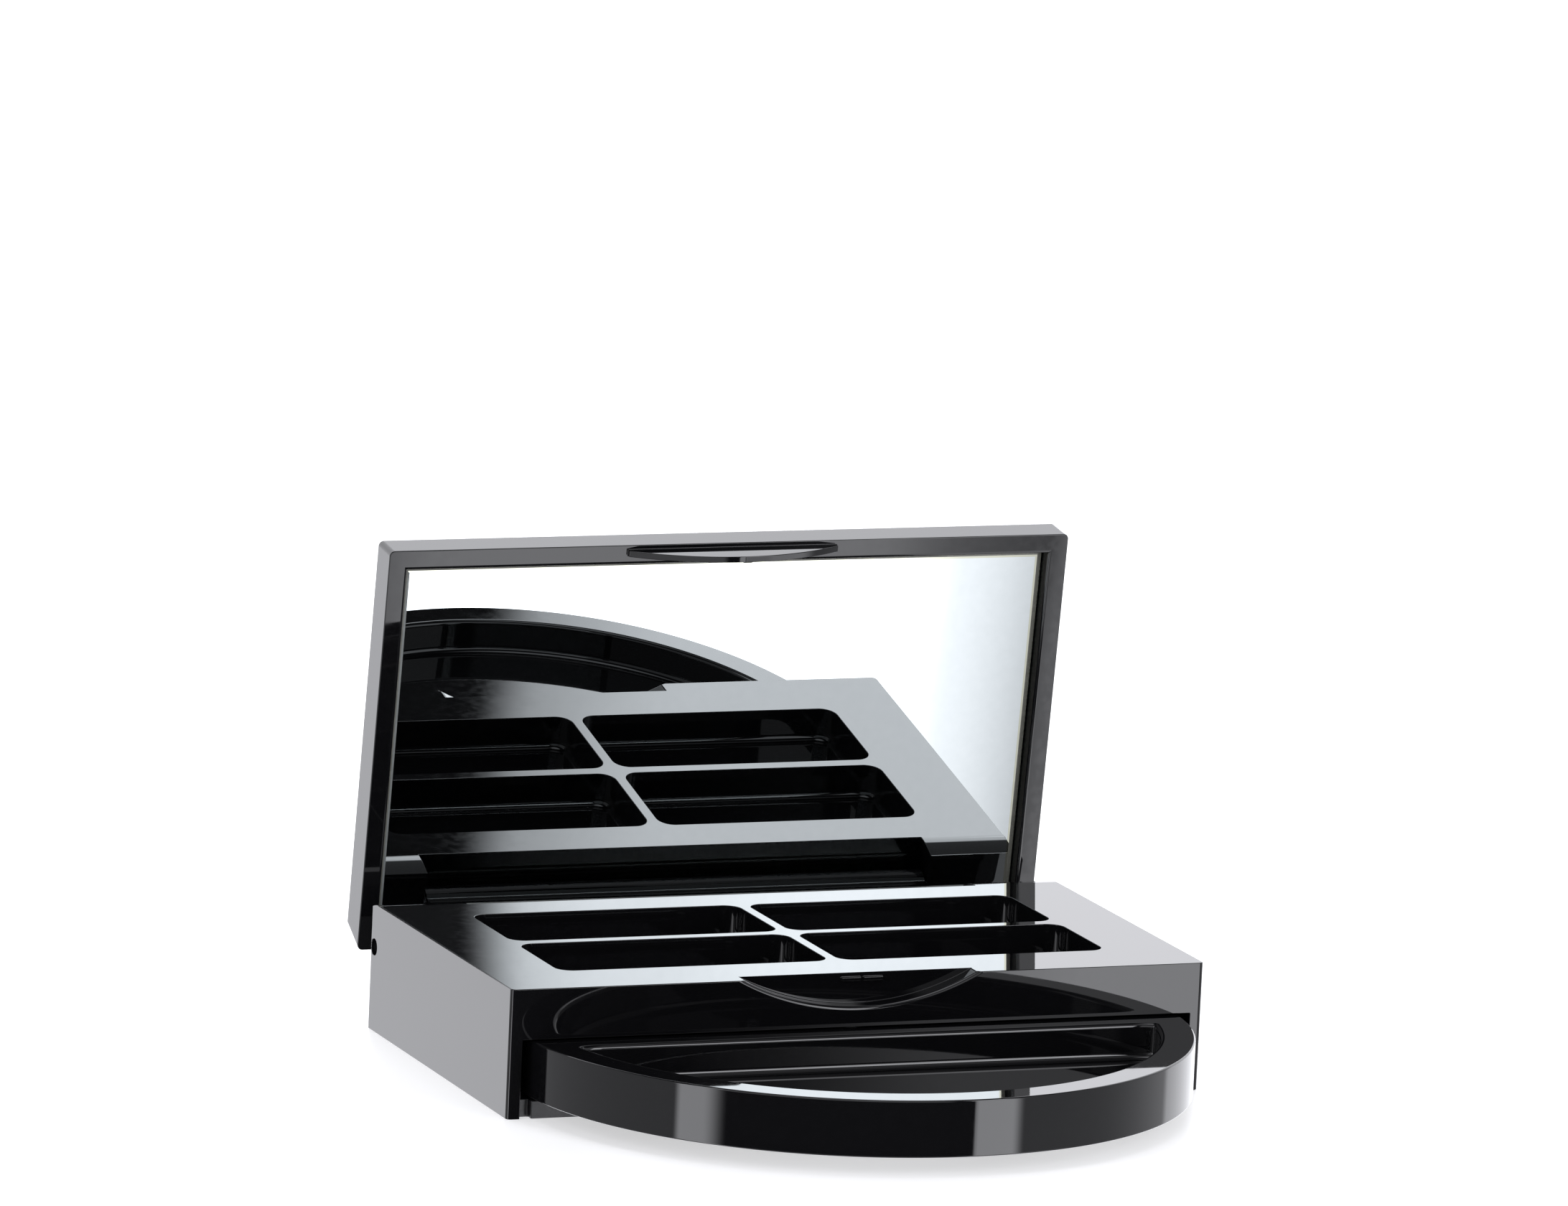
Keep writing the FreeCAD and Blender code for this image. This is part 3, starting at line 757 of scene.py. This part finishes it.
        rib_top = self.high.z - self.catch_rib_drop
        ribs = []
        for side in (-1, 1):
            inner = self.catch_offset + side * self.catch_rib_gap / 2
            across = sorted((inner, inner + side * self.catch_rib_width))
            ribs.append(Bench.block(
                "catch_rib", (across[0], back - self.catch_rib_proud, rib_top - self.catch_rib_height),
                (across[1], back + self.catch_rib_proud, rib_top)))
        Bench.combine(shell, Join.WELD, *ribs)

    def _flare(self, scoop: bpy.types.Object, radius: float, middle: float, start: float,
               step: int) -> None:
        """Add one ring to the rounded lip of the scoop, and a straight one after the last.

        Args:
            scoop: the shape that cuts the notch.
            radius: radius of the notch.
            middle: height of its axis.
            start: where the lip starts, front to back.
            step: number of the ring.
        """
        lip = self.notch_lip_round
        turns = [math.pi / 2 * number / self.notch_lip_steps for number in (step, step + 1)]
        if step == self.notch_lip_steps:
            ahead, growth = OVERCUT, 1.0
        else:
            ahead = lip * (math.sin(turns[1]) - math.sin(turns[0]))
            wide = [radius + lip * (1 - math.cos(turn)) for turn in turns]
            growth = wide[1] / wide[0]
        shape = Bench.edit(scoop, "FACE")
        foremost = min(vertex.co.y for vertex in shape.verts)
        for face in shape.faces:
            face.select_set(all(vertex.co.y < foremost + NEAR for vertex in face.verts))
        bmesh.update_edit_mesh(scoop.data)
        bpy.ops.mesh.extrude_region_move(TRANSFORM_OT_translate={"value": (0, -ahead, 0)})
        bpy.ops.transform.resize(value=(growth, 1, growth), center_override=(0, start, middle))
        Bench.close()

    def _plate(self) -> bpy.types.Object:
        """Model the plate under the tray bay.

        Returns:
            The plate, in place.
        """
        low, high = node_box("bottom_plate")
        plate = Bench.block("floor_plate", low, high)
        step = low.y + self.plate_notch_depth
        notches = []
        for side in (-1, 1):
            across = sorted((side * (high.x - self.plate_notch_width), side * (high.x + OVERCUT)))
            notches.append(Bench.block(
                "plate_notch", (across[0], low.y - OVERCUT, low.z - OVERCUT),
                (across[1], step, high.z + OVERCUT)))
        Bench.combine(plate, Join.CUT, *notches)
        Bench.combine(plate, Join.CUT, Bench.rod(
            "plate_pivot", Axis.Z, self.pivot_hole_radius, Vector((0, self.pivot.y, high.z)),
            2 * self.plate_pivot_bite))
        Bench.soften(plate, self.plate_broken_edge)
        Bench.settle(plate)
        return plate


@dataclass
class MirrorLid:
    """Lid with its frame, hinge leg, latch tongue and mirror, modelled closed on the hinge axis."""

    thickness: float = 3.9
    gap: float = 0.3
    corner_round: float = 0.6
    edge_round: float = 0.1
    broken_edge: float = 0.07
    overhang: float = 0.85
    rear_slant: float = 0.4
    frame_width: float = 2.2
    frame_hinge_width: float = 2.75
    frame_inner_round: float = 0.35
    frame_inner_steps: int = 3
    mirror_sink: float = 1.65
    mirror_thickness: float = 1.1
    mirror_gap: float = 0.12
    mirror_ground_edge: float = 0.12
    mirror_ground_steps: int = 1
    mirror_rim: float = 0.4
    mirror_rim_line: float = 0.24
    adhesive_thickness: float = 0.15
    leg_half_width: float = 29.7
    leg_front_inset: float = 0.9
    leg_rear_inset: float = 0.2
    knuckle_radius: float = 1.8
    bore_radius: float = 0.93
    bore_depth: float = 6.0
    tongue_width: float = 24.6
    tongue_height: float = 3.5
    tongue_end_height: float = 0.5
    tongue_thickness: float = 0.7
    tongue_inset: float = 0.5
    bead_offset: float = 0.75
    bead_width: float = 1.2
    bead_height: float = 0.7
    bead_proud: float = 0.22
    bead_round: float = 0.198
    bead_steps: int = 4
    bead_tip_gap: float = 0.4
    hinge: HingePlace = field(default_factory=HingePlace)

    def __post_init__(self) -> None:
        """Work out the closed lid's place from the base."""
        low, high = node_box("base_body")
        self.half_width = high.x
        self.front = low.y - self.hinge.axis.y
        self.rear = high.y - self.hinge.axis.y
        self.face = high.z + self.gap - self.hinge.axis.z
        self.top = self.face + self.thickness
        self.bed_front = self.front + self.frame_width
        self.bed_rear = self.rear - self.frame_hinge_width
        self.bed_half = self.half_width - self.frame_width

    def build(self) -> None:
        """Make and dress the lid and its mirror."""
        shell = self._shell()
        POLISHED_BLACK.dress(shell)
        Bench.hand_over(shell, Body.LID, "gloss_black", "lid_shell")
        mirror = self._mirror()
        Bench.hand_over(mirror, Body.LID, "mirror_glass", "mirror")
        ADHESIVE_FILM.dress(frame["nodes"]["mirror_adhesive"])

    def _shell(self) -> bpy.types.Object:
        """Model the lid plate with its leg and latch tongue.

        Returns:
            The lid, standing open in its place.
        """
        face, top = self.face, self.top
        rear = self.rear + self.overhang
        shell = Bench.block(
            "lid_frame", (-self.half_width, self.front, face), (self.half_width, rear + OVERCUT, top))
        Bench.slice_off(shell, Vector((0, rear, face)), Vector((0, self.thickness, self.rear_slant)))
        Bench.round_edges(shell, self.corner_round, lambda a, b: abs(a.z - b.z) > NEAR)
        Bench.round_edges(shell, self.edge_round, lambda a, b: abs(a.z - b.z) < NEAR)
        depth = self.mirror_sink + self.mirror_thickness + self.adhesive_thickness
        Bench.combine(shell, Join.CUT, Bench.block(
            "mirror_bed", (-self.bed_half, self.bed_front, face - OVERCUT),
            (self.bed_half, self.bed_rear, face + depth)))
        Bench.round_edges(
            shell, self.frame_inner_round,
            lambda a, b: max(a.z, b.z) < face + NEAR and self._over_bed(a) and self._over_bed(b),
            self.frame_inner_steps)
        Bench.combine(shell, Join.WELD, self._leg())
        self._bore(shell)
        Bench.combine(shell, Join.WELD, self._tongue())
        Bench.combine(shell, Join.WELD, self._bead())
        Bench.soften(shell, self.broken_edge)
        Bench.settle(shell, self.hinge.stand())
        return shell

    def _over_bed(self, point: Vector) -> bool:
        """Tell whether a point lies over the mirror bed or on its edge."""
        return (abs(point.x) < self.bed_half + NEAR
                and self.bed_front - NEAR < point.y < self.bed_rear + NEAR)

    def _leg(self) -> bpy.types.Object:
        """Model the leg that reaches down to the hinge axis, with its round knuckle.

        Returns:
            The leg.
        """
        radius, half = self.knuckle_radius, self.leg_half_width
        back = self.rear - self.leg_rear_inset
        leg = Bench.rod("leg", Axis.X, radius, Vector(), 2 * half, MEDIUM_SIDES)
        Bench.combine(leg, Join.WELD, Bench.block(
            "leg_web", (-half, -self.leg_front_inset, 0), (half, radius, self.face + self.edge_round)))
        Bench.slice_off(leg, Vector((0, back, 0)), Vector((0, 1, 0)))
        return leg

    def _bore(self, shell: bpy.types.Object) -> None:
        """Bore the knuckle for the two hinge pins.

        Args:
            shell: the lid.
        """
        bores = []
        for side in (-1, 1):
            middle = Vector((side * self.leg_half_width, 0, 0))
            bores.append(Bench.rod("bore", Axis.X, self.bore_radius, middle, 2 * self.bore_depth))
        Bench.combine(shell, Join.CUT, *bores)

    def _tongue(self) -> bpy.types.Object:
        """Model the latch tongue with its curved lower edge.

        Returns:
            The tongue.
        """
        rise = self.tongue_height - self.tongue_end_height
        radius = arc_radius(self.tongue_width, rise)
        half = self.tongue_width / 2
        front = self.front + self.tongue_inset
        tip = self.face - self.tongue_height
        middle = Vector((0, front + self.tongue_thickness / 2, tip + radius))
        tongue = Bench.rod("tongue", Axis.Y, radius, middle, self.tongue_thickness, FINE_SIDES)
        Bench.combine(tongue, Join.COMMON, Bench.block(
            "tongue_span", (-half, front - OVERCUT, tip - OVERCUT),
            (half, front + OVERCUT, self.face + self.edge_round)))
        return tongue

    def _bead(self) -> bpy.types.Object:
        """Model the snap bead behind the tip of the tongue.

        Returns:
            The bead.
        """
        back = self.front + self.tongue_inset + self.tongue_thickness
        low = self.face - self.tongue_height + self.bead_tip_gap
        half = self.bead_width / 2
        bead = Bench.block(
            "bead", (self.bead_offset - half, back - self.tongue_thickness / 2, low),
            (self.bead_offset + half, back + self.bead_proud, low + self.bead_height))
        Bench.round_edges(
            bead, self.bead_round, lambda a, b: min(a.y, b.y) > back + NEAR, self.bead_steps)
        return bead

    def _mirror(self) -> bpy.types.Object:
        """Model the mirror, ground round its edge, and dress it.

        Returns:
            The mirror, in its place in the open lid.
        """
        half = self.bed_half - self.mirror_gap
        low = self.face + self.mirror_sink
        mirror = Bench.block(
            "mirror_pane", (-half, self.bed_front + self.mirror_gap, low),
            (half, self.bed_rear - self.mirror_gap, low + self.mirror_thickness))
        Bench.round_edges(mirror, self.mirror_ground_edge, lambda a, b: True, self.mirror_ground_steps)
        self._silver(mirror)
        Bench.settle(mirror, self.hinge.stand())
        return mirror

    def _silver(self, mirror: bpy.types.Object) -> None:
        """Silver the face of the mirror inside a dark rim and a thin line.

        The line is a painted reflection, warm at the right and along the front of the closed lid, and
        cool elsewhere.

        Args:
            mirror: the ground pane.
        """
        finishes = (GLASS_EDGE, DARK_RIM, COOL_PAINTED_REFLECTION, SILVERED, WARM_PAINTED_REFLECTION)
        for finish in finishes:
            mirror.data.materials.append(finish.material())
        shape = Bench.edit(mirror, "FACE")
        for side in shape.faces:
            side.select_set(side.normal.z < -FACING)
        bmesh.update_edit_mesh(mirror.data)
        rings = ((DARK_RIM, self.mirror_rim), (COOL_PAINTED_REFLECTION, self.mirror_rim_line), (SILVERED, 0.0))
        for finish, width in rings:
            mirror.active_material_index = finishes.index(finish)
            bpy.ops.object.material_slot_assign()
            if width:
                bpy.ops.mesh.inset(thickness=width)
        # Painted reflection: the line's faces at the right and along the front take the warm colour,
        # the rest keep the cool one
        shape = bmesh.from_edit_mesh(mirror.data)
        for side in shape.faces:
            spot = side.calc_center_median()
            warm = spot.x > self.bed_half / 2 or spot.y < self.bed_front + self.frame_width
            side.select_set(warm and side.material_index == finishes.index(COOL_PAINTED_REFLECTION))
        bmesh.update_edit_mesh(mirror.data)
        mirror.active_material_index = finishes.index(WARM_PAINTED_REFLECTION)
        bpy.ops.object.material_slot_assign()
        Bench.close()


@dataclass
class SwivelTray:
    """Half round tray with its well, modelled turned out of the base."""

    rim: float = 3.8
    floor: float = 2.3
    bar: float = 6.45
    corner: float = 0.8
    edge_round: float = 0.2
    foot_round: float = 0.15
    foot_steps: int = 4
    well_corner: float = 2.5
    well_floor_round: float = 0.8
    rim_round: float = 0.5
    rim_steps: int = 5
    broken_edge: float = 0.07
    bore_radius: float = 1.55

    def __post_init__(self) -> None:
        """Read the outline and the pivot from the frame."""
        self.low, self.high = node_box("swivel_tray")
        self.pivot = Vector(joint_named("tray_swivel")["pos_m"]) / MM
        self.radius = self.pivot.y - self.low.y

    def build(self) -> None:
        """Make and dress the tray."""
        low, high = self.low.z, self.high.z
        tray = self._half_disc("half_round_tray", self.radius, low, high, self.high.y)
        Bench.round_edges(tray, self.corner, self._upright)
        Bench.round_edges(tray, self.edge_round, lambda a, b: min(a.z, b.z) > high - NEAR)
        Bench.round_edges(
            tray, self.foot_round, lambda a, b: max(a.z, b.z) < low + NEAR, self.foot_steps)
        Bench.combine(tray, Join.CUT, self._well())
        Bench.round_edges(
            tray, self.rim_round, lambda a, b: self._at_rim(a) and self._at_rim(b), self.rim_steps)
        middle = Vector((0, self.pivot.y, (low + high) / 2))
        Bench.combine(tray, Join.CUT, Bench.rod(
            "tray_bore", Axis.Z, self.bore_radius, middle, high - low + OVERCUT))
        Bench.soften(tray, self.broken_edge)
        Bench.settle(tray)
        POLISHED_BLACK.dress(tray)
        Bench.hand_over(tray, Body.TRAY, "gloss_black", "swivel_tray")

    def _half_disc(self, name: str, radius: float, low: float, high: float,
                   rear: float) -> bpy.types.Object:
        """Model a disc about the pivot that is cut off straight at its rear.

        Args:
            name: name of the object.
            radius: radius of the disc.
            low: height of its underside.
            high: height of its top.
            rear: where it is cut off.

        Returns:
            The cut disc.
        """
        middle = Vector((0, self.pivot.y, (low + high) / 2))
        disc = Bench.rod(name, Axis.Z, radius, middle, high - low, FINE_SIDES)
        Bench.slice_off(disc, Vector((0, rear, 0)), Vector((0, 1, 0)))
        return disc

    def _upright(self, a: Vector, b: Vector) -> bool:
        """Tell whether an edge is one of the two upright corners of the straight side."""
        return abs(a.z - b.z) > NEAR and a.y > self.high.y - NEAR and b.y > self.high.y - NEAR

    def _at_rim(self, point: Vector) -> bool:
        """Tell whether a point lies on the inner edge of the rim."""
        inside = (point.xy - self.pivot.xy).length < self.radius - self.rim + NEAR
        return inside and point.z > self.high.z - NEAR and point.y < self.pivot.y - self.bar + NEAR

    def _well(self) -> bpy.types.Object:
        """Model the shape that sinks the well of the tray.

        Returns:
            The shape, which runs on above the tray.
        """
        floor = self.low.z + self.floor
        rear = self.pivot.y - self.bar
        well = self._half_disc("tray_well", self.radius - self.rim, floor, self.high.z + OVERCUT, rear)
        Bench.round_edges(
            well, self.well_corner,
            lambda a, b: abs(a.z - b.z) > NEAR and min(a.y, b.y) > rear - NEAR, CORNER_STEPS)
        Bench.round_edges(well, self.well_floor_round, lambda a, b: max(a.z, b.z) < floor + NEAR)
        return well


class Band(Enum):
    """Stretch of heights in the surround: its two ends and how soft they are, in degrees."""

    LOWER = (-90.0, 45.0, 6.0)
    UNDER_WALLS = (-90.0, -17.0, 2.0)
    OVER_WALLS = (-8.5, 40.0, 2.0)
    IN_MIRROR = (-90.0, -18.0, 6.0)
    LEVEL = (-18.0, 7.0, 3.0)
    ON_WALLS = (-18.0, -8.0, 3.0)
    ON_DECK = (-5.0, 4.0, 6.0)
    ON_TRAY = (7.0, 17.0, 3.0)
    ON_MIRRORED_DECK = (17.0, 38.0, 3.0)
    UPPER = (38.0, 72.0, 6.0)
    OVERHEAD = (72.0, 90.0, 14.0)


@dataclass(frozen=True)
class Panel:
    """Bright or grey part of the surround, in a band of heights and between two bearings.

    Bearings are in degrees from straight ahead of the palette, to its right, and the soft widths
    are the degrees over which its two sides fade.
    """

    band: Band
    start: float
    end: float
    strength: float
    soft_start: float = 3.0
    soft_end: float = 3.0


@dataclass
class Studio:
    """Floor, surrounding light and camera."""

    panels: tuple[Panel, ...] = (
        # Behind the palette and beside it, on the left
        Panel(Band.LOWER, -180, -149, 2.63),
        Panel(Band.LOWER, -149, -78.5, 0.7),
        Panel(Band.LOWER, -78.5, -65, 5.5, 3.0, 9.0),
        # Ahead on the left, under and over the heights that the walls reflect to the camera
        Panel(Band.UNDER_WALLS, -62, 14, 1.3, 4.0, 4.0),
        Panel(Band.OVER_WALLS, -62, 14, 1.3, 4.0, 4.0),
        # Ahead and low down, for the mirror
        Panel(Band.IN_MIRROR, 21.2, 23.95, 2.4, 0.8, 0.5),
        Panel(Band.IN_MIRROR, 21.2, 24.65, 2.1, 0.8, 1.3),
        Panel(Band.IN_MIRROR, 24.66, 60, 2.6, 0.12, 10.0),
        # Ahead and about level, for the front walls and the deck
        Panel(Band.LEVEL, 21.94, 37.7, 4.5, 1.15, 5.0),
        Panel(Band.ON_WALLS, 22.9, 37.7, 1.3, 0.6, 5.0),
        Panel(Band.ON_DECK, 19.89, 21.94, 2.9, 0.33, 1.15),
        Panel(Band.ON_DECK, 20.09, 21.94, 1.9, 0.77, 1.15),
        Panel(Band.ON_DECK, 20.9, 37.7, 0.95, 0.9, 5.0),
        # Ahead and higher up, for the tray, the deck in the mirror and the upper edges
        Panel(Band.ON_TRAY, 21.46, 37.7, 0.5, 0.58, 5.0),
        Panel(Band.ON_TRAY, 22.13, 37.7, 2.6, 1.05, 5.0),
        Panel(Band.ON_MIRRORED_DECK, 22.0, 37.7, 4.4, 0.33, 5.0),
        Panel(Band.ON_MIRRORED_DECK, 22.4, 37.7, 3.8, 1.1, 5.0),
        Panel(Band.UPPER, -60, 60, 0.5, 10.0, 10.0),
        # Beside the palette and behind it, on the right, and overhead
        Panel(Band.LOWER, 37.7, 110.5, 0.72, 5.0, 5.0),
        Panel(Band.LOWER, 88, 110.5, 0.4, 40.0, 5.0),
        Panel(Band.LOWER, 110.5, 180, 2.5, 5.0),
        Panel(Band.OVERHEAD, -180, 180, 2.4),
    )
    dim_front: float = 0.04
    light_colour: Colour = (0.79, 0.795, 0.83, 1)
    floor_size: float = 12.0
    floor_rise: float = 2e-5
    camera_place: tuple[float, float, float] = (-0.488686, -1.225476, 0.298527)
    camera_bearing: float = -21.6593
    camera_height: float = 10.6433
    camera_roll: float = 2.6168
    focal_length: float = 284.0846
    sensor_width: float = 36.0
    nearest_seen: float = 0.01

    def build(self) -> None:
        """Set up the floor, the surround and the camera."""
        self._floor()
        self._surround()
        self._camera()
        view = bpy.context.scene.view_settings
        view.view_transform = "Standard"
        view.look = "None"

    def _floor(self) -> None:
        """Lay a plain pale floor, a hair over the underside so that the two never lie in one plane."""
        bpy.ops.object.select_all(action="DESELECT")
        bpy.ops.mesh.primitive_plane_add(size=self.floor_size, location=(0, 0, self.floor_rise))
        bpy.ops.object.transform_apply(location=True)
        floor = bpy.context.active_object
        floor.name = "floor"
        PALE_FLOOR.dress(floor)
        floor.visible_glossy = False

    def _surround(self) -> None:
        """Light the palette with a surround of soft panels."""
        world = bpy.data.worlds.new("studio")
        bpy.context.scene.world = world
        world.use_nodes = True
        sheet = Sheet(world.node_tree)
        ray = sheet.add("ShaderNodeSeparateXYZ")
        sheet.link(sheet.add("ShaderNodeTexCoord").outputs["Generated"], ray.inputs["Vector"])
        ahead = sheet.math("MULTIPLY", ray.outputs["Y"], -1.0)
        bearing = sheet.math("DEGREES", sheet.math("ARCTAN2", ray.outputs["X"], ahead))
        height = sheet.math("DEGREES", sheet.math("ARCSINE", ray.outputs["Z"]))
        total = self.dim_front
        for panel in self.panels:
            total = sheet.math("ADD", self._panel(sheet, panel, bearing, height), total)
        light = sheet.add("ShaderNodeBackground")
        light.inputs["Color"].default_value = self.light_colour
        sheet.link(total, light.inputs["Strength"])
        sheet.link(light.outputs["Background"], sheet.add("ShaderNodeOutputWorld").inputs["Surface"])

    def _panel(self, sheet: Sheet, panel: Panel, bearing: bpy.types.NodeSocket,
               height: bpy.types.NodeSocket) -> bpy.types.NodeSocket:
        """Add one panel to the surround.

        Args:
            sheet: node tree of the surround.
            panel: the panel.
            bearing: bearing of a ray, in degrees.
            height: height of a ray, in degrees.

        Returns:
            The light of the panel.
        """
        low, high, soft = panel.band.value
        light = panel.strength
        for value, start, end, soft_start, soft_end, whole in (
                (bearing, panel.start, panel.end, panel.soft_start, panel.soft_end, HALF_TURN),
                (height, low, high, soft, soft, QUARTER_TURN)):
            if start > -whole:
                share = sheet.ramp(value, start - soft_start / 2, start + soft_start / 2, 0.0, 1.0)
                light = sheet.math("MULTIPLY", share, light)
            if end < whole:
                share = sheet.ramp(value, end - soft_end / 2, end + soft_end / 2, 1.0, 0.0)
                light = sheet.math("MULTIPLY", share, light)
        return light

    def _camera(self) -> None:
        """Set the camera at the photograph's viewing angle."""
        bpy.ops.object.camera_add()
        camera = bpy.context.active_object
        camera.data.lens = self.focal_length
        camera.data.sensor_fit = "HORIZONTAL"
        camera.data.sensor_width = self.sensor_width
        camera.data.clip_start = self.nearest_seen
        turn = Matrix.Rotation(math.radians(self.camera_bearing), 4, "Z")
        tilt = Matrix.Rotation(math.radians(QUARTER_TURN - self.camera_height), 4, "X")
        roll = Matrix.Rotation(math.radians(self.camera_roll), 4, "Z")
        camera.matrix_world = Matrix.Translation(self.camera_place) @ turn @ tilt @ roll
        bpy.context.scene.camera = camera


def main() -> None:
    """Build the palette and its studio."""
    logging.basicConfig(level=logging.INFO, format="%(name)s: %(message)s")
    CaseBase().build()
    MirrorLid().build()
    SwivelTray().build()
    Studio().build()


if __name__ == "__main__":
    main()
